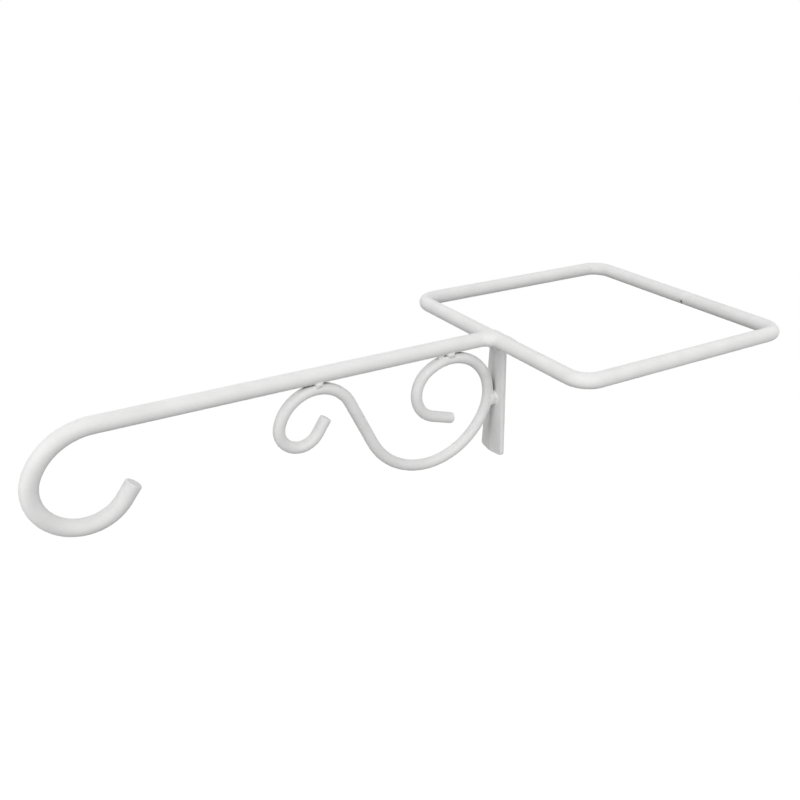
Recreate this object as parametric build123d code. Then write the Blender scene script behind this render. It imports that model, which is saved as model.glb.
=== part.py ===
from build123d import *
from math import sin, cos, radians
import os

# Plant hanger for a square post, in millimetres.
# The origin is the middle of the square ring that slips over the post. +Z is up and the arm points along -X.
# Every rod is worked along its centreline. Reach is measured outwards from the centreline of the ring side that
# carries the arm, and rise is measured up from the arm's centreline.

# Rods
frame_rod = 8.0
scroll_rod = 6.0
cut_end_round = 0.8

# Post ring
post_opening = 135.0
ring_inside_bend = 6.5
seam_offset = 5.0
seam_gap = 1.6

# Arm and hook
arm_straight = 208.0
shoulder_radius = 30.0
shoulder_turn = 65.5
bowl_radius = 21.0
bowl_turn = 168.0
hook_tip_run = 8.5

# Scroll under the arm
front_curl_radius = 20.5
front_curl_turn = 74.0
front_tip_radius = 11.0
front_tip_turn = 163.0
front_tip_run = 9.0
slope_angle = 63.5
belly_radius = 39.0
belly_turn = 128.0
rear_curl_radius = 25.5
rear_curl_turn = 33.5
rear_tip_radius = 15.0
rear_tip_turn = 129.0
rear_tip_run = 13.0
scroll_plate_gap = 0.2

# Bearing plate against the post
plate_height = 69.2
plate_drop = 0.5
plate_set_out = 0.5
plate_top_width = 11.4
plate_foot_width = 18.8
plate_edge_thickness = 3.0
plate_crown = 0.8
plate_foot_arch = 0.4
plate_corner_round = 1.5

# Welds
arm_weld_fillet = 5.0
bead_crown = 0.5
bead_half_length = 3.2
seam_bead_half_length = 3.0
seam_notch_depth = 1.8
plate_bead_radius = 2.3
plate_bead_length = 6.0
plate_bead_proud = 1.2
plate_bead_drop = 0.6
top_bead_radius = 1.6
top_bead_length = 17.0
top_bead_run_on = 4.5
top_bead_rise = 0.9
tack_radius = 1.7
tack_length = 3.0
tack_inset = 0.9
stub_diameter = 8.0
stub_drop = 35.6
stub_round = 1.2

# Places that follow from the sizes above
frame_radius = frame_rod / 2
scroll_radius = scroll_rod / 2
ring_half = (post_opening + frame_rod) / 2
ring_bend = ring_inside_bend + frame_radius
scroll_top = -(frame_radius + scroll_radius)
plate_edge_x = -ring_half + frame_radius - plate_set_out
plate_ridge_x = plate_edge_x - plate_crown
plate_back_x = plate_edge_x + plate_edge_thickness


def ring_point(x, y):
    return Vector(x, y, 0)


def arm_point(reach, rise):
    return Vector(-ring_half - reach, 0, rise)


def heading_step(angle, length):
    return length * cos(radians(angle)), length * sin(radians(angle))


def bent_path(start, heading, runs, place):
    """Edges of a rod's centreline and its end. A run is (length,) or (bend radius, turn), positive to the left."""
    u, v = start
    edges = []
    for run in runs:
        if len(run) == 1:
            du, dv = heading_step(heading, run[0])
            edges.append(Edge.make_line(place(u, v), place(u + du, v + dv)))
            u, v = u + du, v + dv
        else:
            radius, turn = run
            side = 90 if turn > 0 else -90
            cu, cv = heading_step(heading + side, radius)
            mu, mv = heading_step(heading + side + turn / 2, -radius)
            eu, ev = heading_step(heading + side + turn, -radius)
            centre_u, centre_v = u + cu, v + cv
            middle = place(centre_u + mu, centre_v + mv)
            end = place(centre_u + eu, centre_v + ev)
            edges.append(Edge.make_three_point_arc(place(u, v), middle, end))
            u, v = centre_u + eu, centre_v + ev
            heading += turn
    return edges, (u, v)


def rod_along(edges, diameter):
    path = Wire(edges)
    section = Plane(origin=path @ 0, z_dir=path % 0) * Circle(diameter / 2)
    return sweep(section, path=path)


def round_end(rod, tip):
    cap = rod.faces().sort_by_distance(tip)[0]
    return fillet(cap.edges(), cut_end_round)


def capsule(start, end, radius):
    axis = end - start
    core = Plane(origin=start, z_dir=axis) * extrude(Circle(radius), axis.length)
    return core + Pos(start) * Sphere(radius) + Pos(end) * Sphere(radius)


def round_bead(centre, direction, half_length):
    """Barrel-shaped weld round a frame rod, thickest at its middle."""
    outline = Polyline(
        (frame_radius, -half_length), (0, -half_length), (0, half_length), (frame_radius, half_length)
    )
    crown = ThreePointArc(
        (frame_radius, half_length), (frame_radius + bead_crown, 0), (frame_radius, -half_length)
    )
    barrel = revolve(Plane.XZ * make_face([outline, crown]), Axis.Z)
    return Plane(origin=centre, z_dir=direction) * barrel


def post_ring():
    """One rod bent round the post, its two cut ends facing each other on the far side."""
    side = 2 * (ring_half - ring_bend)
    seam_y = -seam_offset
    first = side / 2 - seam_y - seam_gap / 2
    last = side / 2 + seam_y - seam_gap / 2
    corner = (ring_bend, 90)
    runs = [(first,), corner, (side,), corner, (side,), corner, (side,), corner, (last,)]
    edges, _ = bent_path((ring_half, seam_y + seam_gap / 2), 90, runs, ring_point)
    return rod_along(edges, frame_rod)


def arm():
    """Straight arm that starts against the ring and ends in an open hook."""
    runs = [
        (arm_straight - frame_radius,),
        (shoulder_radius, -shoulder_turn),
        (bowl_radius, -bowl_turn),
        (hook_tip_run,),
    ]
    edges, tip = bent_path((frame_radius, 0), 0, runs, arm_point)
    return round_end(rod_along(edges, frame_rod), arm_point(*tip))


def slope_run():
    """Straight length that lets both curls touch the arm at the same height."""
    belly_end = belly_turn - slope_angle
    rise = belly_radius * (1 - cos(radians(belly_end)))
    rise += rear_curl_radius * (1 + cos(radians(belly_end)))
    fall = (front_curl_radius + belly_radius) * (1 - cos(radians(slope_angle)))
    return (rise - fall) / sin(radians(slope_angle))


def rear_top_reach():
    """Reach of the rear curl's highest point, from the gap between the scroll and the plate."""
    ridge_reach = -(plate_ridge_x + ring_half)
    return ridge_reach + scroll_plate_gap + scroll_radius + rear_curl_radius


def scroll():
    """Reversed S under the arm: a tight front curl, a deep belly and a wide rear curl, wound from one rod."""
    belly_end = belly_turn - slope_angle
    rear_tip = (rear_top_reach(), scroll_top)
    inner_runs = [
        (rear_curl_radius, -rear_curl_turn),
        (rear_tip_radius, -rear_tip_turn),
        (rear_tip_run,),
    ]
    outer_runs = [
        (rear_curl_radius, 180 - belly_end),
        (belly_radius, belly_turn),
        (slope_run(),),
        (front_curl_radius, -(slope_angle + front_curl_turn)),
        (front_tip_radius, -front_tip_turn),
        (front_tip_run,),
    ]
    inner_edges, inner_end = bent_path(rear_tip, 0, inner_runs, arm_point)
    outer_edges, outer_end = bent_path(rear_tip, 180, outer_runs, arm_point)
    rod = rod_along(inner_edges, scroll_rod) + rod_along(outer_edges, scroll_rod)
    rod = round_end(rod, arm_point(*inner_end))
    return round_end(rod, arm_point(*outer_end))


def front_top_reach():
    """Reach of the front curl's highest point."""
    slope_out, _ = heading_step(slope_angle, slope_run())
    belly_end = belly_turn - slope_angle
    across = rear_curl_radius * sin(radians(belly_end)) - belly_radius * sin(radians(belly_end))
    across -= belly_radius * sin(radians(slope_angle)) + slope_out + front_curl_radius * sin(radians(slope_angle))
    return rear_top_reach() - across


def bearing_plate(ring):
    """Flared strap with a flat back for the post, a pitched front and an arched foot, coped to the ring."""
    half = plate_foot_width / 2
    section = Polyline(
        (plate_back_x, -half),
        (plate_back_x, half),
        (plate_edge_x, half),
        (plate_ridge_x, 0),
        (plate_edge_x, -half),
        close=True,
    )
    bar = Pos(0, 0, -plate_height) * extrude(make_face(section), plate_height - plate_drop)
    top = plate_top_width / 2
    corner_z = -plate_height + plate_foot_arch
    sides = Polyline((-half, corner_z), (-top, -plate_drop), (top, -plate_drop), (half, corner_z))
    foot = ThreePointArc((half, corner_z), (0, -plate_height), (-half, corner_z))
    face = make_face([sides, foot])
    feet = face.vertices().group_by(Axis.Y)[0]
    outline = fillet(feet, plate_corner_round)
    blank = extrude(Plane(origin=(plate_back_x, 0, 0), x_dir=(0, 1, 0), z_dir=(1, 0, 0)) * outline,
                    plate_edge_thickness + plate_crown, both=True)
    return (bar & blank) - ring


def arm_weld(ring, arm_rod):
    """Bead round the arm's end, flowing into a fillet on each side of the ring.

    The bead is shorter than the rod's diameter, so it starts clear of the ring's highest line.
    """
    fillet_bend = arm_weld_fillet + frame_radius
    weld = round_bead(arm_point(frame_radius, 0), Vector(-1, 0, 0), bead_half_length)
    for side in (-1, 1):
        edges, _ = bent_path((-ring_half - fillet_bend, 0), 0, [(fillet_bend, 90 * side)], ring_point)
        weld += rod_along(edges, frame_rod - bead_crown)
    return weld - ring - arm_rod


def ring_seam_weld(ring):
    """Bead that closes the ring, left open on the underside where the gap shows."""
    weld = round_bead(Vector(ring_half, -seam_offset, 0), Vector(0, 1, 0), seam_bead_half_length)
    weld -= ring
    reach = 2 * frame_rod
    underside = Pos(ring_half, -seam_offset, -frame_radius + seam_notch_depth) * Box(
        reach, reach, reach, align=(Align.CENTER, Align.CENTER, Align.MAX)
    )
    return weld - underside


def plate_weld(ring, plate, junction):
    """Short bead in the corner under the ring rod, in front of the plate."""
    half = plate_bead_length / 2
    x = plate_ridge_x - plate_bead_proud
    z = -frame_radius - plate_bead_drop
    bead = capsule(Vector(x, -half, z), Vector(x, half, z), plate_bead_radius)
    return bead - ring - plate - junction


def plate_top_weld(ring, plate):
    """Bead in the groove between the ring and the plate's top edge, running on past the plate on one side."""
    half = top_bead_length / 2
    x = plate_back_x - top_bead_radius
    z = -plate_drop + top_bead_rise
    start = Vector(x, half - top_bead_run_on, z)
    end = Vector(x, -half - top_bead_run_on, z)
    return capsule(start, end, top_bead_radius) - ring - plate


def tack_weld(reach, arm_rod, scroll_body):
    """Pair of small beads, one each side of where a curl touches the arm."""
    weld = Part()
    for side in (-1, 1):
        y = side * (scroll_radius - tack_inset)
        ends = [arm_point(reach + end * tack_length / 2, -frame_radius) + Vector(0, y, 0) for end in (-1, 1)]
        weld += capsule(ends[0], ends[1], tack_radius)
    return weld - arm_rod - scroll_body


def scroll_foot_weld(scroll_body, plate):
    """Round nugget that joins the rear of the scroll to the plate's ridge."""
    rod_centre_x = plate_ridge_x - scroll_plate_gap - scroll_radius
    length = plate_edge_x - rod_centre_x
    nugget = Cylinder(stub_diameter / 2, length, align=(Align.CENTER, Align.CENTER, Align.MIN))
    nugget = fillet(nugget.edges().group_by(Axis.Z)[-1], stub_round)
    nugget = Plane(origin=(plate_edge_x, 0, -stub_drop), z_dir=(-1, 0, 0)) * nugget
    return nugget - scroll_body - plate


ring = post_ring()
arm_rod = arm()
scroll_body = scroll()
plate = bearing_plate(ring)
junction = arm_weld(ring, arm_rod)

nodes = {
    "post_ring": ring,
    "arm": arm_rod,
    "scroll": scroll_body,
    "bearing_plate": plate,
    "arm_weld": junction,
    "ring_seam_weld": ring_seam_weld(ring),
    "plate_weld": plate_weld(ring, plate, junction),
    "plate_top_weld": plate_top_weld(ring, plate),
    "front_curl_weld": tack_weld(front_top_reach(), arm_rod, scroll_body),
    "rear_curl_weld": tack_weld(rear_top_reach(), arm_rod, scroll_body),
    "scroll_foot_weld": scroll_foot_weld(scroll_body, plate),
}

os.makedirs("parts", exist_ok=True)
for name, shape in nodes.items():
    export_step(shape, "parts/" + name + ".step")
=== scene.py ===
import math

import bpy
import numpy as np
from bpy.props import FloatProperty, FloatVectorProperty, PointerProperty
from bpy.types import Operator, Panel, PropertyGroup
from mathutils import Matrix, Vector


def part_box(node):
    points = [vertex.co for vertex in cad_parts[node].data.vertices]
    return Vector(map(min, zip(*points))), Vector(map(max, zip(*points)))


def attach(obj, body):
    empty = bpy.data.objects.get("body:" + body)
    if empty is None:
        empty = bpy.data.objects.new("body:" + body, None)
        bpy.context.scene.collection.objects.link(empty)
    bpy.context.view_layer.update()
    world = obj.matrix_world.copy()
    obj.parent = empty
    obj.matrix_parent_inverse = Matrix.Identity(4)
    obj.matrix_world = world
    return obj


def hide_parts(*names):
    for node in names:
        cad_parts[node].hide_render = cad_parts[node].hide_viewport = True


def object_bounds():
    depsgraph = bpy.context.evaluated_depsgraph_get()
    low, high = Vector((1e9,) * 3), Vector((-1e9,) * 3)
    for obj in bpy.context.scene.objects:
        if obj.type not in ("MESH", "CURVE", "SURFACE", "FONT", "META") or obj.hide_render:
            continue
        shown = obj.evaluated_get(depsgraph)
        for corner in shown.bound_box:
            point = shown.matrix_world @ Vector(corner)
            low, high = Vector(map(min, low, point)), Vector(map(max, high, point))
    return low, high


bl_info = {
    "name": "Plant Hanger Finish",
    "version": (1, 0, 0),
    "blender": (4, 5, 0),
    "location": "3D View > Sidebar > Hanger",
    "description": "White powder coat, weld beads and a pale studio for a plant hanger on a square post",
    "category": "Object",
}

# The hanger hooks over a square post. Its arm points along -X and its origin is the middle of the post ring.
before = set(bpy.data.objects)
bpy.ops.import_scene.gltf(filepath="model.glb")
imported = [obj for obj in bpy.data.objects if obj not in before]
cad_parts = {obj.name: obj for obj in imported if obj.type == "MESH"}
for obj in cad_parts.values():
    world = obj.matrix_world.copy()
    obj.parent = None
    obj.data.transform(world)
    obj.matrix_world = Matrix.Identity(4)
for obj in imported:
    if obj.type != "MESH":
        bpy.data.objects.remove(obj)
cad_low, cad_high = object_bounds()

BODY = "root"
ROD_NODES = ("post_ring", "arm")

# Sizes and places that the solids give
ring_low, ring_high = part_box("post_ring")
scroll_low, scroll_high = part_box("scroll")
plate_low, plate_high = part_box("bearing_plate")
seam_low, seam_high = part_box("ring_seam_weld")
corner_low, corner_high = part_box("plate_weld")
top_low, top_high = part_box("plate_top_weld")
front_low, front_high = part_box("front_curl_weld")
rear_low, rear_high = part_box("rear_curl_weld")
foot_low, foot_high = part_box("scroll_foot_weld")

FRAME_RADIUS = (ring_high.z - ring_low.z) / 2
SCROLL_RADIUS = (scroll_high.y - scroll_low.y) / 2
RING_SIDE_X = ring_low.x + FRAME_RADIUS
RING_FAR_X = ring_high.x - FRAME_RADIUS
SEAM_Y = (seam_low.y + seam_high.y) / 2
FRONT_TOP_X = (front_low.x + front_high.x) / 2
REAR_TOP_X = (rear_low.x + rear_high.x) / 2
FOOT_Z = (foot_low.z + foot_high.z) / 2
SCROLL_TOP_Z = -(FRAME_RADIUS + SCROLL_RADIUS)

ALONG_X = np.array((1.0, 0.0, 0.0))
ALONG_Y = np.array((0.0, 1.0, 0.0))
RING_SIDE = np.array((RING_SIDE_X, 0.0, 0.0))
RING_FAR = np.array((RING_FAR_X, 0.0, 0.0))

# A point on the arm's axis, far beyond every weld
ARM_BEYOND = RING_SIDE - ALONG_X * 40 * FRAME_RADIUS

# Shortest and longest wave of a bead's unevenness, as shares of its size
WAVE_SHARES = (0.7, 1.5)

# Make-up of the soft patches: size of the small ones next to the wide ones, how much each kind counts, and
# the noise at which the thin coat starts and is full
SMALL_PATCH = 0.12
WIDE_WEIGHT = 0.7
SMALL_WEIGHT = 0.3
THIN_START = 0.40
THIN_FULL = 0.68
NOISE_MIDDLE = 0.5

# Each coat's place in the noise, and how strongly its painted corner shade, its edges and its waves show
COATS = {
    "post_ring_coat": {"offset": 0.0, "corners": 0.95, "edges": 0.5, "waves": 1.0},
    "arm_coat": {"offset": 3.0, "corners": 0.95, "edges": 0.5, "waves": 1.0},
    "scroll_coat": {"offset": 9.0, "corners": 0.95, "edges": 0.5, "waves": 1.2},
    "plate_coat": {"offset": 12.0, "corners": 0.95, "edges": 0.8, "waves": 1.3},
    "bead_coat": {"offset": 15.0, "corners": 0.8, "edges": 0.3, "waves": 2.0},
}

# Places of the colour sockets on a Mix node
MIX_FIRST, MIX_SECOND, MIX_RESULT = 6, 7, 2


class HangerFinish(PropertyGroup):
    """Colours and grain of the powder coat, and the grey of the shade painted into its corners."""

    coat_colour: FloatVectorProperty(
        name="Coat", description="White of the powder coat", subtype="COLOR", size=3, min=0, max=1,
        default=(0.800, 0.800, 0.795))
    thin_colour: FloatVectorProperty(
        name="Thin coat", description="White where the powder lies a little thinner", subtype="COLOR", size=3,
        min=0, max=1, default=(0.745, 0.745, 0.740))
    # The corner grey is painted shade: the coat's colour turns towards it in tight corners and creases, where
    # shade falls.
    corner_shade_colour: FloatVectorProperty(
        name="Corners", description="Grey of a corner that the powder hardly reaches", subtype="COLOR",
        size=3, min=0, max=1, default=(0.20, 0.197, 0.193))
    patch_size: FloatProperty(
        name="Patch size", description="Width of the soft patches in the white", unit="LENGTH", min=0.001,
        default=0.011)
    roughness: FloatProperty(
        name="Roughness", description="Satin of the powder coat", subtype="FACTOR", min=0, max=1,
        default=0.58)
    gloss: FloatProperty(
        name="Gloss", description="Strength of the coat's own reflection", subtype="FACTOR", min=0, max=1,
        default=0.4)
    roughness_spread: FloatProperty(
        name="Roughness spread", description="How much the satin changes over the surface", subtype="FACTOR",
        min=0, max=1, default=0.12)
    roll_size: FloatProperty(
        name="Roll size", description="Length of the slow waves left by bending and coating", unit="LENGTH",
        min=0.001, default=0.0075)
    roll_depth: FloatProperty(
        name="Roll depth", description="Height of the slow waves", unit="LENGTH", min=0, default=0.000030)
    peel_size: FloatProperty(
        name="Peel size", description="Width of the orange peel", unit="LENGTH", min=0.0001, default=0.0013)
    peel_depth: FloatProperty(
        name="Peel depth", description="Height of the orange peel", unit="LENGTH", min=0, default=0.0000045)
    speck_size: FloatProperty(
        name="Speck size", description="Width of the finest grain", unit="LENGTH", min=0.0001, default=0.0004)
    speck_depth: FloatProperty(
        name="Speck depth", description="Height of the finest grain", unit="LENGTH", min=0, default=0.0000008)
    # Reach, start and full set where the painted shade in the corners begins and where it is full, from how
    # closed in a spot is.
    corner_shade_reach: FloatProperty(
        name="Corner reach", description="How far the thin coat reaches out of a corner", unit="LENGTH",
        min=0, default=0.0026)
    corner_shade_start: FloatProperty(
        name="Corner start", description="How closed in a corner is where the coat starts to thin",
        subtype="FACTOR", min=0, max=1, default=0.42)
    corner_shade_full: FloatProperty(
        name="Corner full", description="How closed in a corner is where the coat is thinnest",
        subtype="FACTOR", min=0, max=1, default=0.85)
    corner_roughness: FloatProperty(
        name="Corner roughness", description="Roughness added in the tightest corners", subtype="FACTOR",
        min=0, max=1, default=0.3)
    edge_start: FloatProperty(
        name="Edge start", description="How sharp an edge is where the coat starts to draw back",
        subtype="FACTOR", min=0, max=1, default=0.53)
    edge_full: FloatProperty(
        name="Edge full", description="How sharp an edge is where the coat has drawn back",
        subtype="FACTOR", min=0, max=1, default=0.62)


class HangerShape(PropertyGroup):
    """Sizes of the plate and of the weld beads."""

    mesh_step: FloatProperty(
        name="Mesh step", description="Size of the faces of a weld bead", unit="LENGTH", min=0.0001,
        default=0.00028)
    sink: FloatProperty(
        name="Sink", description="How far a bead's hidden part lies below the rods", unit="LENGTH", min=0,
        default=0.00010)
    arm_fillet: FloatProperty(
        name="Arm fillet", description="Width of the fillet between the arm and the ring", unit="LENGTH",
        min=0.001, default=0.0058)
    front_curl_radius: FloatProperty(
        name="Front curl radius", description="Bend of the front curl where it meets the arm", unit="LENGTH",
        min=0.001, default=0.0205)
    scroll_gap: FloatProperty(
        name="Scroll gap", description="Gap between the scroll and the plate's ridge", unit="LENGTH", min=0,
        default=0.0002)
    plate_top_width: FloatProperty(
        name="Plate top width", description="Width of the plate under the ring", unit="LENGTH", min=0.001,
        default=0.0114)
    plate_crown: FloatProperty(
        name="Plate crown", description="Height of the plate's ridge over its edges", unit="LENGTH", min=0,
        default=0.0015)
    plate_arch: FloatProperty(
        name="Plate arch", description="Rise of the plate's foot from its middle to its corners",
        unit="LENGTH", min=0, default=0.0004)
    edge_round: FloatProperty(
        name="Edge round", description="Rounding of the plate's long edges", unit="LENGTH", min=0.0001,
        default=0.0008)
    ridge_round: FloatProperty(
        name="Ridge round", description="Width over which the plate's ridge turns", unit="LENGTH", min=0.0001,
        default=0.0003)
    foot_round: FloatProperty(
        name="Foot round", description="Rounding of the plate's two lower corners", unit="LENGTH", min=0.0001,
        default=0.0018)
    lump_height: FloatProperty(
        name="Lump height", description="Unevenness of a weld bead", unit="LENGTH", min=0, default=0.00022)
    lump_size: FloatProperty(
        name="Lump size", description="Length of the unevenness of a weld bead", unit="LENGTH", min=0.0001,
        default=0.0034)


class HangerStudio(PropertyGroup):
    """Camera, floor and lamps."""

    camera_place: FloatVectorProperty(
        name="Camera place", description="Where the camera stands", subtype="TRANSLATION", unit="LENGTH",
        size=3, default=(-0.33910, -0.34260, 0.16330))
    camera_azimuth: FloatProperty(
        name="Camera azimuth", description="Turn of the camera round the hanger", subtype="ANGLE",
        default=math.radians(-31.6))
    camera_elevation: FloatProperty(
        name="Camera elevation", description="Height of the camera over the horizon", subtype="ANGLE",
        default=math.radians(24.94))
    camera_roll: FloatProperty(
        name="Camera roll", description="Lean of the camera", subtype="ANGLE", default=math.radians(0.65))
    camera_lens: FloatProperty(
        name="Lens", description="Focal length on a 36 mm sensor", unit="CAMERA", min=1,
        default=38.87)
    floor_drop: FloatProperty(
        name="Floor drop", description="Depth of the floor below the ring", unit="LENGTH", min=0,
        default=0.32)
    floor_radius: FloatProperty(
        name="Floor radius", description="Radius of the round floor", unit="LENGTH", min=0.1, default=1.1)
    floor_colour: FloatVectorProperty(
        name="Floor", description="Light that the floor gives back to the hanger", subtype="COLOR", size=3,
        min=0, max=1, default=(0.10, 0.10, 0.10))
    floor_glow: FloatProperty(
        name="Floor glow", description="Brightness of the floor as it is seen", subtype="FACTOR",
        min=0, max=1, default=0.93)
    lamp_distance: FloatProperty(
        name="Lamp distance", description="Distance of the lamps from the hanger", unit="LENGTH", min=0.1,
        default=1.2)
    lamp_size: FloatProperty(
        name="Lamp size", description="Side of each square lamp", unit="LENGTH", min=0.01, default=0.9)
    raised_angle: FloatProperty(
        name="Raised lamps", description="Height of the raised lamps over the horizon", subtype="ANGLE",
        default=math.radians(38))
    level_angle: FloatProperty(
        name="Level lamps", description="Height of the low lamps over the horizon", subtype="ANGLE",
        default=math.radians(4))
    near_turn: FloatProperty(
        name="Near turn", description="Turn of the near lamps from square to the arm", subtype="ANGLE",
        default=math.radians(-8))
    near_size: FloatProperty(
        name="Near lamp size", description="Side of each near lamp", unit="LENGTH", min=0.01, default=0.6)
    near_power: FloatProperty(
        name="Near side", description="Power of the raised lamp on the camera's side of the arm",
        unit="POWER", min=0, default=4.4)
    front_power: FloatProperty(
        name="Hook end", description="Power of the raised lamp beyond the hook", unit="POWER", min=0,
        default=4.2)
    post_power: FloatProperty(
        name="Post side", description="Power of the raised lamp behind the post", unit="POWER", min=0,
        default=3.9)
    far_power: FloatProperty(
        name="Far side", description="Power of the raised lamp on the far side", unit="POWER", min=0,
        default=4.1)
    near_low_power: FloatProperty(
        name="Near side, low", description="Power of the level lamp on the near side", unit="POWER", min=0,
        default=4.4)
    front_low_power: FloatProperty(
        name="Hook end, low", description="Power of the level lamp beyond the hook", unit="POWER", min=0,
        default=3.5)
    ambient: FloatProperty(
        name="Ambient", description="Even light from all round", subtype="FACTOR", min=0, default=0.26)


# Distances, in metres, from points to the surface of a form: negative inside it

def length_of(vectors):
    return np.sqrt((vectors * vectors).sum(axis=-1))


def rod_distance(points, start, direction, radius):
    """Distance from an endless straight rod."""
    offset = points - start
    along = offset @ direction
    return length_of(offset - along[..., None] * direction) - radius


def bead_distance(points, start, end, radius):
    """Distance from a straight bead with round ends."""
    axis = end - start
    share = np.clip(((points - start) @ axis) / (axis @ axis), 0, 1)
    return length_of(points - start - share[..., None] * axis) - radius


def curl_distance(points, centre, bend_radius, radius):
    """Distance from a rod bent round a centre in the arm's upright plane."""
    offset = points - centre
    across = np.hypot(offset[..., 0], offset[..., 2]) - bend_radius
    return np.hypot(across, offset[..., 1]) - radius


def block_distance(points, centre, half):
    return np.max(np.abs(points - centre) - half, axis=-1)


def joined(first, second, width):
    """Union of two forms with a fillet in the corner between them."""
    overlap = np.maximum(width - np.abs(first - second), 0) / width
    return np.minimum(first, second) - overlap * overlap * width / 4


def trimmed(first, second, width):
    """What two forms have in common, with a rounded edge."""
    return -joined(-first, -second, width)


def lumps(points, size, seed, waves=7):
    """Smooth unevenness from -1 to 1, made of a few waves that cross at odd angles."""
    rng = np.random.default_rng(seed)
    total = np.zeros(points.shape[:-1])
    for _ in range(waves):
        direction = rng.normal(size=3)
        direction /= np.sqrt(direction @ direction)
        phase = rng.uniform(0, 2 * math.pi)
        wave_length = size * rng.uniform(*WAVE_SHARES)
        total += np.sin((points @ direction) * 2 * math.pi / wave_length + phase)
    return total / waves


def ring_side(points, sink):
    return rod_distance(points, RING_SIDE, ALONG_Y, FRAME_RADIUS - sink)


def arm_run(points, sink):
    return bead_distance(points, RING_SIDE, ARM_BEYOND, FRAME_RADIUS - sink)


def rear_curl(points, sink, shape):
    """The wide curl that touches the arm and, a quarter turn on, the plate's ridge."""
    bend = plate_low.x - shape.scroll_gap - SCROLL_RADIUS - REAR_TOP_X
    centre = np.array((REAR_TOP_X, 0, SCROLL_TOP_Z - bend))
    return curl_distance(points, centre, bend, SCROLL_RADIUS - sink)


def front_curl(points, sink, shape):
    centre = np.array((FRONT_TOP_X, 0, SCROLL_TOP_Z - shape.front_curl_radius))
    return curl_distance(points, centre, shape.front_curl_radius, SCROLL_RADIUS - sink)


def plate_body(points, shape):
    """Flared strap with a flat back, a pitched front, tapered sides and an arched foot."""
    x, y, z = points[..., 0], points[..., 1], points[..., 2]
    foot_half = plate_high.y
    top_half = shape.plate_top_width / 2
    height = plate_high.z - plate_low.z
    pitch = math.atan2(shape.plate_crown, foot_half)
    ridge_drop = np.sqrt(y * y + shape.ridge_round ** 2) - shape.ridge_round
    front = (plate_low.x - x) * math.cos(pitch) + ridge_drop * math.sin(pitch)
    back = x - plate_high.x
    flare = math.atan2(foot_half - top_half, height)
    side = (np.abs(y) - top_half - (plate_high.z - z) * math.tan(flare)) * math.cos(flare)
    foot = plate_low.z + shape.plate_arch * (y / foot_half) ** 2 - z
    top = z - plate_high.z
    outline = trimmed(side, foot, shape.foot_round)
    faces = trimmed(front, back, shape.edge_round)
    return trimmed(trimmed(outline, faces, shape.edge_round), top, shape.edge_round)


# Meshes of such forms

def surface_net(field, low, step):
    """Points and quads of a field's zero level, one point in each cell that the level passes through."""
    cells = tuple(n - 1 for n in field.shape)
    total = np.zeros(cells + (3,))
    count = np.zeros(cells)
    rings = []
    for axis in range(3):
        here = tuple(slice(0, -1) if a == axis else slice(None) for a in range(3))
        there = tuple(slice(1, None) if a == axis else slice(None) for a in range(3))
        first, second = field[here], field[there]
        crossed = np.argwhere((first < 0) != (second < 0))
        start, end = first[tuple(crossed.T)], second[tuple(crossed.T)]
        places = crossed.astype(float)
        places[:, axis] += start / (start - end)
        around = []
        for left, down in ((0, 0), (-1, 0), (-1, -1), (0, -1)):
            cell = crossed.copy()
            cell[:, (axis + 1) % 3] += left
            cell[:, (axis + 2) % 3] += down
            np.add.at(total, tuple(cell.T), places)
            np.add.at(count, tuple(cell.T), 1)
            around.append(cell)
        ring = np.stack(around, axis=1)
        ring[start > 0] = ring[start > 0][:, ::-1]
        rings.append(ring)
    used = count > 0
    number = np.full(cells, -1)
    number[used] = np.arange(used.sum())
    points = low + step * total[used] / count[used][:, None]
    quads = np.concatenate(rings)
    return points, number[quads[..., 0], quads[..., 1], quads[..., 2]]


def settle(points, field, step, rounds=3, least_steepness=0.25):
    """Moves points straight onto the level where the field is zero. Flat places take shorter steps."""
    reach = step / 20
    for _ in range(rounds):
        slope = np.stack(
            [field(points + reach * axis) - field(points - reach * axis) for axis in np.eye(3)], axis=-1)
        slope /= 2 * reach
        steepness = np.maximum((slope * slope).sum(axis=-1), least_steepness)
        shift = np.clip(field(points) / steepness, -step / 2, step / 2)
        points = points - shift[:, None] * slope
    return points


def grown_mesh(name, field, low, high, step):
    """Object whose surface is the field's zero level inside a box."""
    margin = 2 * step
    low = np.array(low) - margin
    high = np.array(high) + margin
    axes = [np.arange(a, b + step, step) for a, b in zip(low, high)]
    grid = np.stack(np.meshgrid(*axes, indexing="ij"), axis=-1)
    points, quads = surface_net(field(grid), low, step)
    if len(quads) == 0:
        raise RuntimeError(name + " came out empty")
    points = settle(points, field, step)
    mesh = bpy.data.meshes.new(name)
    mesh.from_pydata(points.tolist(), [], quads.tolist())
    mesh.validate()
    mesh.shade_smooth()
    piece = bpy.data.objects.new(name, mesh)
    bpy.context.scene.collection.objects.link(piece)
    return piece


def thinned(piece, share):
    """Fewer faces where the surface is plain."""
    modifier = piece.modifiers.new("fewer_faces", "DECIMATE")
    modifier.ratio = share
    graph = bpy.context.evaluated_depsgraph_get()
    mesh = bpy.data.meshes.new_from_object(piece.evaluated_get(graph))
    piece.modifiers.clear()
    old = piece.data
    piece.data = mesh
    bpy.data.meshes.remove(old)
    mesh.name = piece.name
    mesh.shade_smooth()
    return piece


def weld_piece(name, node, field, centre, half, shape):
    """Weld bead that stands for a node. Its hidden part ends inside the rods, in a block round the weld."""
    centre = np.array(centre)
    half = np.array(half)

    def closed(points):
        return np.maximum(field(points), block_distance(points, centre, half))

    piece = grown_mesh(name, closed, centre - half, centre + half, shape.mesh_step)
    piece.data.materials.append(coat_material("bead_coat", bpy.context.scene.hanger_finish))
    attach(piece, BODY)
    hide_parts(node)
    return piece


# Shader groups that the coats share

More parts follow.
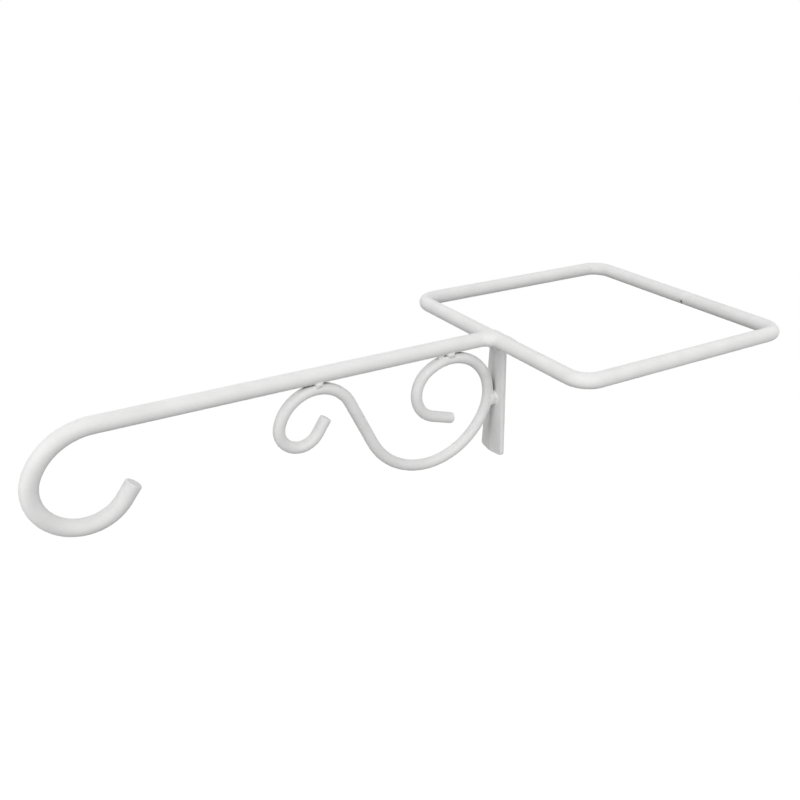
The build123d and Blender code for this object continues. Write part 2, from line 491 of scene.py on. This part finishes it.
def empty_group(name, inputs, outputs):
    """Node group with named sockets. An input has a name, a kind and a default."""
    group = bpy.data.node_groups.new(name, "ShaderNodeTree")
    for label, kind, default in inputs:
        socket = group.interface.new_socket(label, in_out="INPUT", socket_type=kind)
        socket.default_value = default
    for label, kind in outputs:
        group.interface.new_socket(label, in_out="OUTPUT", socket_type=kind)
    entry = group.nodes.new("NodeGroupInput")
    leave = group.nodes.new("NodeGroupOutput")
    return group, entry, leave


def feed(tree, socket, value):
    """Links a socket, or sets its number or colour."""
    if isinstance(value, bpy.types.NodeSocket):
        tree.links.new(value, socket)
    else:
        socket.default_value = value


def maths(tree, operation, first, second=0.0, third=0.0):
    node = tree.nodes.new("ShaderNodeMath")
    node.operation = operation
    for socket, value in zip(node.inputs, (first, second, third)):
        feed(tree, socket, value)
    return node.outputs[0]


def mixed_colour(tree, share, first, second):
    node = tree.nodes.new("ShaderNodeMix")
    node.data_type = "RGBA"
    feed(tree, node.inputs["Factor"], share)
    feed(tree, node.inputs[MIX_FIRST], first)
    feed(tree, node.inputs[MIX_SECOND], second)
    return node.outputs[MIX_RESULT]


def ramp(tree, value, start, full, smooth=False):
    """0 up to the start, 1 from the full value on, and an even or smooth rise between them."""
    node = tree.nodes.new("ShaderNodeMapRange")
    if smooth:
        node.interpolation_type = "SMOOTHSTEP"
    feed(tree, node.inputs["Value"], value)
    feed(tree, node.inputs["From Min"], start)
    feed(tree, node.inputs["From Max"], full)
    return node.outputs["Result"]


def scaled_noise(tree, size, detail, offset=0.0):
    """Noise whose features are about as wide as the size, in the hanger's own frame."""
    place = tree.nodes.new("ShaderNodeTexCoord").outputs["Object"]
    noise = tree.nodes.new("ShaderNodeTexNoise")
    noise.noise_dimensions = "4D"
    feed(tree, noise.inputs["Vector"], place)
    feed(tree, noise.inputs["W"], offset)
    feed(tree, noise.inputs["Scale"], maths(tree, "DIVIDE", 1.0, size))
    feed(tree, noise.inputs["Detail"], detail)
    return noise.outputs["Fac"]


def skin_group():
    """Height of the coat: slow waves, orange peel and a fine grain."""
    group, entry, leave = empty_group(
        "coat_skin",
        [("Roll Size", "NodeSocketFloat", 0.01), ("Roll Depth", "NodeSocketFloat", 0.0),
         ("Peel Size", "NodeSocketFloat", 0.001), ("Peel Depth", "NodeSocketFloat", 0.0),
         ("Speck Size", "NodeSocketFloat", 0.001), ("Speck Depth", "NodeSocketFloat", 0.0),
         ("Offset", "NodeSocketFloat", 0.0)],
        [("Height", "NodeSocketFloat"), ("Unevenness", "NodeSocketFloat")])
    heights = []
    for label, detail in (("Roll", 1.0), ("Peel", 2.0), ("Speck", 1.0)):
        noise = scaled_noise(group, entry.outputs[label + " Size"], detail, entry.outputs["Offset"])
        centred = maths(group, "SUBTRACT", noise, NOISE_MIDDLE)
        heights.append(maths(group, "MULTIPLY", centred, entry.outputs[label + " Depth"]))
        if label == "Peel":
            feed(group, leave.inputs["Unevenness"], noise)
    low_and_peel = maths(group, "ADD", heights[0], heights[1])
    feed(group, leave.inputs["Height"], maths(group, "ADD", low_and_peel, heights[2]))
    return group


def tone_group():
    """White that is a little thinner in soft patches."""
    group, entry, leave = empty_group(
        "coat_tone",
        [("Coat", "NodeSocketColor", (0.8, 0.8, 0.8, 1)),
         ("Thin Coat", "NodeSocketColor", (0.7, 0.7, 0.7, 1)),
         ("Patch Size", "NodeSocketFloat", 0.01), ("Offset", "NodeSocketFloat", 0.0)],
        [("Color", "NodeSocketColor")])
    wide = scaled_noise(group, entry.outputs["Patch Size"], 3.0, entry.outputs["Offset"])
    small_size = maths(group, "MULTIPLY", entry.outputs["Patch Size"], SMALL_PATCH)
    small = scaled_noise(group, small_size, 2.0, entry.outputs["Offset"])
    both = maths(group, "ADD", maths(group, "MULTIPLY", wide, WIDE_WEIGHT),
                 maths(group, "MULTIPLY", small, SMALL_WEIGHT))
    share = ramp(group, both, THIN_START, THIN_FULL)
    mixed = mixed_colour(group, share, entry.outputs["Coat"], entry.outputs["Thin Coat"])
    feed(group, leave.inputs["Color"], mixed)
    return group


def corner_shade_group():
    """Mask of the tight corners, where two pieces of the hanger meet, found by ambient occlusion; the coats
    paint shade into their colour through it.
    """
    group, entry, leave = empty_group(
        "coat_corner_shade",
        [("Reach", "NodeSocketFloat", 0.002), ("Start", "NodeSocketFloat", 0.5),
         ("Full", "NodeSocketFloat", 1.0)],
        [("Mask", "NodeSocketFloat")])
    shade = group.nodes.new("ShaderNodeAmbientOcclusion")
    shade.samples = 8
    feed(group, shade.inputs["Distance"], entry.outputs["Reach"])
    closed = maths(group, "SUBTRACT", 1.0, shade.outputs["AO"])
    mask = ramp(group, closed, entry.outputs["Start"], entry.outputs["Full"], smooth=True)
    feed(group, leave.inputs["Mask"], mask)
    return group


def edge_group():
    """Mask of the outward edges, where the powder draws back a little."""
    group, entry, leave = empty_group(
        "coat_edge",
        [("Start", "NodeSocketFloat", 0.53), ("Full", "NodeSocketFloat", 0.62)],
        [("Mask", "NodeSocketFloat")])
    bend = group.nodes.new("ShaderNodeNewGeometry").outputs["Pointiness"]
    feed(group, leave.inputs["Mask"], ramp(group, bend, entry.outputs["Start"], entry.outputs["Full"]))
    return group


def shared_group(name):
    """One of the shared groups, built the first time that a coat asks for it."""
    makers = {"coat_skin": skin_group, "coat_tone": tone_group, "coat_corner_shade": corner_shade_group,
              "coat_edge": edge_group}
    return bpy.data.node_groups.get(name) or makers[name]()


def placed_group(tree, name, values):
    node = tree.nodes.new("ShaderNodeGroup")
    node.node_tree = shared_group(name)
    for label, value in values.items():
        feed(tree, node.inputs[label], value)
    return node


def coat_material(name, finish):
    """White powder coat of that name, made the first time that a piece asks for it."""
    material = bpy.data.materials.get(name)
    if material is not None:
        return material
    coat = COATS[name]
    material = bpy.data.materials.new(name)
    material.use_nodes = True
    tree = material.node_tree
    shader = tree.nodes["Principled BSDF"]
    tone = placed_group(tree, "coat_tone", {
        "Coat": (*finish.coat_colour, 1),
        "Thin Coat": (*finish.thin_colour, 1),
        "Patch Size": finish.patch_size,
        "Offset": coat["offset"],
    })
    corner = placed_group(tree, "coat_corner_shade", {
        "Reach": finish.corner_shade_reach,
        "Start": finish.corner_shade_start,
        "Full": finish.corner_shade_full,
    })
    edge = placed_group(tree, "coat_edge", {"Start": finish.edge_start, "Full": finish.edge_full})
    skin = placed_group(tree, "coat_skin", {
        "Roll Size": finish.roll_size,
        "Roll Depth": finish.roll_depth * coat["waves"],
        "Peel Size": finish.peel_size,
        "Peel Depth": finish.peel_depth * coat["waves"],
        "Speck Size": finish.speck_size,
        "Speck Depth": finish.speck_depth,
        "Offset": coat["offset"],
    })
    edge_mask = maths(tree, "MULTIPLY", edge.outputs["Mask"], coat["edges"])
    painted_shade_mask = maths(tree, "MULTIPLY", corner.outputs["Mask"], coat["corners"])
    colour = mixed_colour(tree, edge_mask, tone.outputs["Color"], (*finish.thin_colour, 1))
    # Painted shade: the tight corners and creases that the occlusion mask finds turn towards the corner grey.
    colour = mixed_colour(tree, painted_shade_mask, colour, (*finish.corner_shade_colour, 1))
    feed(tree, shader.inputs["Base Color"], colour)
    feed(tree, shader.inputs["Specular IOR Level"], finish.gloss)
    uneven = maths(tree, "SUBTRACT", skin.outputs["Unevenness"], NOISE_MIDDLE)
    satin = maths(tree, "MULTIPLY_ADD", uneven, finish.roughness_spread, finish.roughness)
    rough = maths(tree, "MULTIPLY_ADD", painted_shade_mask, finish.corner_roughness, satin)
    feed(tree, shader.inputs["Roughness"], rough)
    bump = tree.nodes.new("ShaderNodeBump")
    feed(tree, bump.inputs["Strength"], 1.0)
    feed(tree, bump.inputs["Distance"], 1.0)
    feed(tree, bump.inputs["Height"], skin.outputs["Height"])
    feed(tree, shader.inputs["Normal"], bump.outputs["Normal"])
    return material


def dress(node, material):
    """Gives a node of the frame its material."""
    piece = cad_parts[node]
    if not piece.material_slots:
        piece.data.materials.append(material)
    for place in piece.material_slots:
        place.material = material


class HANGER_OT_coat_rods(Operator):
    """Powder coat on the ring and the arm"""

    bl_idname = "hanger.coat_rods"
    bl_label = "Coat the ring and arm"

    def execute(self, context):
        finish = context.scene.hanger_finish
        for node in ROD_NODES:
            dress(node, coat_material(node + "_coat", finish))
        return {"FINISHED"}


class HANGER_OT_coat_scroll(Operator):
    """Powder coat on the scroll, whose tighter bends leave slightly deeper waves"""

    bl_idname = "hanger.coat_scroll"
    bl_label = "Coat the scroll"

    def execute(self, context):
        dress("scroll", coat_material("scroll_coat", context.scene.hanger_finish))
        return {"FINISHED"}


class HANGER_OT_plate(Operator):
    """Flared bearing plate with softened edges, which rests against the post"""

    bl_idname = "hanger.plate"
    bl_label = "Make the bearing plate"

    def execute(self, context):
        shape = context.scene.hanger_shape
        # The plate is plainer than a bead, so its mesh is coarser and then thinned
        step = shape.mesh_step * 1.2
        faces_kept = 0.3

        def field(points):
            return plate_body(points, shape)

        low = (plate_low.x, -plate_high.y, plate_low.z)
        piece = thinned(grown_mesh("bearing_plate_strap", field, low, plate_high, step), faces_kept)
        piece.data.materials.append(coat_material("plate_coat", context.scene.hanger_finish))
        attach(piece, BODY)
        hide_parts("bearing_plate")
        return {"FINISHED"}


class HANGER_OT_weld_arm(Operator):
    """Fillets where the arm meets the ring, flush with the tops of both rods"""

    bl_idname = "hanger.weld_arm"
    bl_label = "Weld the arm to the ring"

    def execute(self, context):
        shape = context.scene.hanger_shape
        # The fillets end level with the tops of the rods, and only their toe is a little uneven
        flush = FRAME_RADIUS + 0.00003
        toe = RING_SIDE - ALONG_X * FRAME_RADIUS * 1.4
        toe_reach = 1.3 * FRAME_RADIUS
        unevenness = 0.35 * shape.lump_height
        rim_round = 0.0009

        def field(points):
            near_toe = np.exp(-((points - toe) ** 2).sum(axis=-1) / toe_reach ** 2)
            web = joined(ring_side(points, shape.sink), arm_run(points, shape.sink), shape.arm_fillet)
            web = web - lumps(points, shape.lump_size, seed=11) * unevenness * near_toe
            return trimmed(web, np.abs(points[..., 2]) - flush, rim_round)

        # The block round the weld, in rod radii
        centre = RING_SIDE - ALONG_X * FRAME_RADIUS * 1.35
        half = FRAME_RADIUS * np.array((1.6, 2.9, 1.05))
        weld_piece("arm_weld_bead", "arm_weld", field, centre, half, shape)
        return {"FINISHED"}


class HANGER_OT_weld_seam(Operator):
    """Bead that closes the ring on its far side, open on the underside"""

    bl_idname = "hanger.weld_seam"
    bl_label = "Weld the ring's seam"

    def execute(self, context):
        shape = context.scene.hanger_shape
        half_length = (seam_high.y - seam_low.y) / 2
        # The coat evens the bead out, so that a share of the solid's height is left
        crown = (seam_high.z - FRAME_RADIUS) * 0.35
        cut_level = seam_low.z + FRAME_RADIUS * 0.3
        cut_round = 0.0008
        unevenness = 0.3 * shape.lump_height
        middle = RING_FAR + ALONG_Y * SEAM_Y

        def field(points):
            share = 1 - ((points[..., 1] - SEAM_Y) / half_length) ** 2
            rise = (crown + shape.sink) * share - shape.sink
            bead = rod_distance(points, RING_FAR, ALONG_Y, FRAME_RADIUS) - rise
            bead = bead - lumps(points, shape.lump_size, seed=23) * unevenness * np.clip(share, 0, 1)
            return trimmed(bead, cut_level - points[..., 2], cut_round)

        half = (FRAME_RADIUS * 1.25, half_length * 1.15, FRAME_RADIUS * 1.25)
        weld_piece("ring_seam_bead", "ring_seam_weld", field, middle, half, shape)
        return {"FINISHED"}


class HANGER_OT_weld_plate(Operator):
    """Beads that hold the plate under the ring: one in front, one along the plate's top edge"""

    bl_idname = "hanger.weld_plate"
    bl_label = "Weld the plate to the ring"

    def execute(self, context):
        shape = context.scene.hanger_shape
        self.bead("plate_corner_bead", "plate_weld", (ring_side, arm_run), shape, corner_low, corner_high,
                  by_post=False, seed=31, radius=0.0023, blend=0.0014, margin=0.0018)
        self.bead("plate_top_bead", "plate_top_weld", (ring_side,), shape, top_low, top_high,
                  by_post=True, seed=37, radius=0.0016, blend=0.0010, margin=0.0015)
        return {"FINISHED"}

    def bead(self, name, node, rods, shape, low, high, by_post, seed, radius, blend, margin):
        """One straight bead, tight in its node's box: high on the post's side, or low on the arm's side."""
        x, z = (high.x - radius, high.z - radius) if by_post else (low.x + radius, low.z + radius)
        start = np.array((x, low.y + radius, z))
        end = np.array((x, high.y - radius, z))

        def field(points):
            form = bead_distance(points, start, end, radius)
            form = form - lumps(points, shape.lump_size, seed) * shape.lump_height
            sides = [rod(points, shape.sink) for rod in rods] + [plate_body(points, shape) + shape.sink]
            return np.minimum.reduce([joined(form, side, blend) for side in sides])

        centre = (low + high) / 2
        half = [(b - a) / 2 + margin for a, b in zip(low, high)]
        weld_piece(name, node, field, tuple(centre), half, shape)


class HANGER_OT_tack_curls(Operator):
    """Small tacks that hold the two curls of the scroll up against the arm"""

    bl_idname = "hanger.tack_curls"
    bl_label = "Tack the curls to the arm"

    def execute(self, context):
        shape = context.scene.hanger_shape
        self.tack("front_curl_tack", "front_curl_weld", front_curl, FRONT_TOP_X, shape,
                  shift=0.0008, length=0.0012, drips=(), seed=41)
        self.tack("rear_curl_tack", "rear_curl_weld", rear_curl, REAR_TOP_X, shape,
                  shift=-0.0014, length=0.0016, drips=(-0.0046, -0.0064), seed=43)
        return {"FINISHED"}

    def tack(self, name, node, curl, top_x, shape, shift, length, drips, seed):
        """One tack of two beads, with small drips beside it where the filler ran along the corner."""
        # The beads lie tucked into the corners beside the curl, and the drips are smaller
        radius = 0.0015
        tuck = 0.0009
        blend = 0.0012
        drip_radius = radius * 0.55
        drip_side = SCROLL_RADIUS * 0.3
        lump_size = shape.lump_size * 0.7
        lump_height = shape.lump_height * 1.3
        margin = 0.001
        out = SCROLL_RADIUS - tuck
        middle = np.array((top_x + shift, 0.0, -FRAME_RADIUS))

        def field(points):
            forms = []
            for side in (-1, 1):
                start = middle + ALONG_Y * side * out - ALONG_X * length / 2
                forms.append(bead_distance(points, start, start + ALONG_X * length, radius))
            for drip in drips:
                place = middle + ALONG_X * drip - ALONG_Y * drip_side
                forms.append(length_of(points - place) - drip_radius)
            form = np.minimum.reduce(forms) - lumps(points, lump_size, seed) * lump_height
            with_arm = joined(form, arm_run(points, shape.sink), blend)
            with_curl = joined(form, curl(points, shape.sink, shape), blend)
            return np.minimum(with_arm, with_curl)

        reach = max([length / 2 + radius] + [radius - drip for drip in drips]) + margin
        half = (reach, out + radius + margin, radius * 2)
        weld_piece(name, node, field, middle, half, shape)


class HANGER_OT_weld_foot(Operator):
    """Round nugget that joins the scroll to the plate's ridge"""

    bl_idname = "hanger.weld_foot"
    bl_label = "Weld the scroll to the plate"

    def execute(self, context):
        shape = context.scene.hanger_shape
        # The coat makes the nugget a little fuller than its solid and rounds its near end most
        radius = (foot_high.z - foot_low.z) / 2 * 1.1
        near, far = foot_low.x, foot_high.x
        near_round, far_round = 0.0016, 0.0004
        scroll_blend, plate_blend = 0.0007, 0.0010
        margin = 0.0015
        axis_point = np.array((near, 0.0, FOOT_Z))

        def field(points):
            nugget = rod_distance(points, axis_point, ALONG_X, radius)
            nugget = trimmed(nugget, near - points[..., 0], near_round)
            nugget = trimmed(nugget, points[..., 0] - far, far_round)
            nugget = nugget - lumps(points, shape.lump_size, seed=53) * shape.lump_height
            with_scroll = joined(nugget, rear_curl(points, shape.sink, shape), scroll_blend)
            with_plate = joined(nugget, plate_body(points, shape) + shape.sink, plate_blend)
            return np.minimum(with_scroll, with_plate)

        centre = ((near + far) / 2, 0.0, FOOT_Z)
        half = ((far - near) / 2 + margin, radius + margin, radius + margin)
        weld_piece("scroll_foot_nugget", "scroll_foot_weld", field, centre, half, shape)
        return {"FINISHED"}


def seen_or_reflected(tree):
    """1 for what the camera sees directly, reflected or through glass, and 0 for other light."""
    path = tree.nodes.new("ShaderNodeLightPath")
    direct = maths(tree, "MAXIMUM", path.outputs["Is Camera Ray"], path.outputs["Is Glossy Ray"])
    return maths(tree, "MAXIMUM", direct, path.outputs["Is Transmission Ray"])


def floor_material(studio):
    """Pale paper that reads as white, gives little light back and fades out at its rim."""
    material = bpy.data.materials.new("floor_paper")
    material.use_nodes = True
    tree = material.node_tree
    shader = tree.nodes["Principled BSDF"]
    grain_size, grain_detail, grain_tone = 0.02, 4.0, 0.94
    fade_start, fade_full = 0.45 * studio.floor_radius, 0.95 * studio.floor_radius
    grain = scaled_noise(tree, grain_size, grain_detail)
    dim = tuple(grain_tone * part for part in studio.floor_colour)
    colour = mixed_colour(tree, grain, (*studio.floor_colour, 1), (*dim, 1))
    feed(tree, shader.inputs["Base Color"], colour)
    feed(tree, shader.inputs["Roughness"], 0.95)
    feed(tree, shader.inputs["Specular IOR Level"], 0.0)
    feed(tree, shader.inputs["Emission Color"], (1, 1, 1, 1))
    glow = maths(tree, "MULTIPLY", seen_or_reflected(tree), studio.floor_glow)
    feed(tree, shader.inputs["Emission Strength"], glow)
    place = tree.nodes.new("ShaderNodeTexCoord").outputs["Object"]
    distance = tree.nodes.new("ShaderNodeVectorMath")
    distance.operation = "LENGTH"
    feed(tree, distance.inputs[0], place)
    fade = ramp(tree, distance.outputs["Value"], fade_start, fade_full, smooth=True)
    below = tree.nodes.new("ShaderNodeNewGeometry").outputs["Backfacing"]
    clear = tree.nodes.new("ShaderNodeBsdfTransparent")
    mix = tree.nodes.new("ShaderNodeMixShader")
    feed(tree, mix.inputs["Fac"], maths(tree, "MAXIMUM", fade, below))
    feed(tree, mix.inputs[1], shader.outputs["BSDF"])
    feed(tree, mix.inputs[2], clear.outputs["BSDF"])
    feed(tree, tree.nodes["Material Output"].inputs["Surface"], mix.outputs["Shader"])
    return material


def directions(azimuth, elevation):
    """Backward and rightward directions of a view from that azimuth and elevation."""
    back = Vector((math.sin(azimuth) * math.cos(elevation), -math.cos(azimuth) * math.cos(elevation),
                   math.sin(elevation)))
    right = Vector((math.cos(azimuth), math.sin(azimuth), 0))
    return back, right


class HANGER_OT_stage(Operator):
    """Pale floor, soft lamps, white surroundings and the camera"""

    bl_idname = "hanger.stage"
    bl_label = "Build the studio"

    def execute(self, context):
        studio = context.scene.hanger_studio
        self.floor(context, studio)
        self.lamps(context, studio)
        self.surroundings(context, studio)
        self.camera(context, studio)
        context.scene.view_settings.view_transform = "Standard"
        return {"FINISHED"}

    def floor(self, context, studio):
        rim = 96
        turns = [2 * math.pi * step / rim for step in range(rim)]
        corners = [(studio.floor_radius * math.cos(t), studio.floor_radius * math.sin(t), 0) for t in turns]
        mesh = bpy.data.meshes.new("studio_floor")
        mesh.from_pydata(corners, [], [list(range(rim))])
        mesh.materials.append(floor_material(studio))
        floor = bpy.data.objects.new("studio_floor", mesh)
        middle = (cad_low + cad_high) / 2
        floor.location = (middle.x, middle.y, -studio.floor_drop)
        context.scene.collection.objects.link(floor)

    def lamps(self, context, studio):
        raised, level = studio.raised_angle, studio.level_angle
        near, size = studio.near_size, studio.lamp_size
        quarter = math.pi / 2
        for name, azimuth, elevation, side, power in (
                ("near_lamp", studio.near_turn, raised, near, studio.near_power),
                ("near_low_lamp", studio.near_turn, level, near, studio.near_low_power),
                ("front_lamp", -quarter, raised, size, studio.front_power),
                ("front_low_lamp", -quarter, level, size, studio.front_low_power),
                ("post_lamp", quarter, raised, size, studio.post_power),
                ("far_lamp", math.pi, raised, size, studio.far_power)):
            self.lamp(context, studio, name, azimuth, elevation, side, power)

    def lamp(self, context, studio, name, azimuth, elevation, size, power):
        data = bpy.data.lights.new(name, "AREA")
        data.shape = "SQUARE"
        data.size = size
        data.energy = power
        lamp = bpy.data.objects.new(name, data)
        back, _ = directions(azimuth, elevation)
        lamp.location = (cad_low + cad_high) / 2 + back * studio.lamp_distance
        lamp.rotation_mode = "QUATERNION"
        lamp.rotation_quaternion = (-back).to_track_quat("-Z", "Y")
        lamp.visible_camera = False
        context.scene.collection.objects.link(lamp)

    def surroundings(self, context, studio):
        world = bpy.data.worlds.new("studio_white")
        world.use_nodes = True
        tree = world.node_tree
        background = tree.nodes["Background"]
        feed(tree, background.inputs["Color"], (1, 1, 1, 1))
        seen = seen_or_reflected(tree)
        feed(tree, background.inputs["Strength"], maths(tree, "MAXIMUM", seen, studio.ambient))
        context.scene.world = world

    def camera(self, context, studio):
        data = bpy.data.cameras.new("photo_camera")
        data.sensor_width = 36
        data.lens = studio.camera_lens
        camera = bpy.data.objects.new("photo_camera", data)
        back, right = directions(studio.camera_azimuth, studio.camera_elevation)
        up = back.cross(right)
        lean = studio.camera_roll
        leaned_right = right * math.cos(lean) + up * math.sin(lean)
        leaned_up = up * math.cos(lean) - right * math.sin(lean)
        turn = Matrix((leaned_right, leaned_up, back)).transposed()
        camera.matrix_world = Matrix.Translation(studio.camera_place) @ turn.to_4x4()
        context.scene.collection.objects.link(camera)
        context.scene.camera = camera


PIECES = (
    HANGER_OT_coat_rods,
    HANGER_OT_coat_scroll,
    HANGER_OT_plate,
    HANGER_OT_weld_arm,
    HANGER_OT_weld_seam,
    HANGER_OT_weld_plate,
    HANGER_OT_tack_curls,
    HANGER_OT_weld_foot,
    HANGER_OT_stage,
)


class HANGER_PT_panel(Panel):
    """Settings and steps of the plant hanger"""

    bl_idname = "HANGER_PT_panel"
    bl_label = "Plant hanger"
    bl_space_type = "VIEW_3D"
    bl_region_type = "UI"
    bl_category = "Hanger"

    def draw(self, context):
        scene = context.scene
        for settings in (scene.hanger_finish, scene.hanger_shape, scene.hanger_studio):
            box = self.layout.box()
            for label in settings.bl_rna.properties.keys():
                if label not in ("rna_type", "name"):
                    box.prop(settings, label)
        for piece in PIECES:
            self.layout.operator(piece.bl_idname)


CLASSES = (HangerFinish, HangerShape, HangerStudio, *PIECES, HANGER_PT_panel)


def register():
    for item in CLASSES:
        bpy.utils.register_class(item)
    bpy.types.Scene.hanger_finish = PointerProperty(type=HangerFinish)
    bpy.types.Scene.hanger_shape = PointerProperty(type=HangerShape)
    bpy.types.Scene.hanger_studio = PointerProperty(type=HangerStudio)


def unregister():
    del bpy.types.Scene.hanger_studio
    del bpy.types.Scene.hanger_shape
    del bpy.types.Scene.hanger_finish
    for item in reversed(CLASSES):
        bpy.utils.unregister_class(item)


def main():
    register()
    bpy.ops.hanger.coat_rods()
    bpy.ops.hanger.coat_scroll()
    bpy.ops.hanger.plate()
    bpy.ops.hanger.weld_arm()
    bpy.ops.hanger.weld_seam()
    bpy.ops.hanger.weld_plate()
    bpy.ops.hanger.tack_curls()
    bpy.ops.hanger.weld_foot()
    bpy.ops.hanger.stage()


if __name__ == "__main__":
    main()
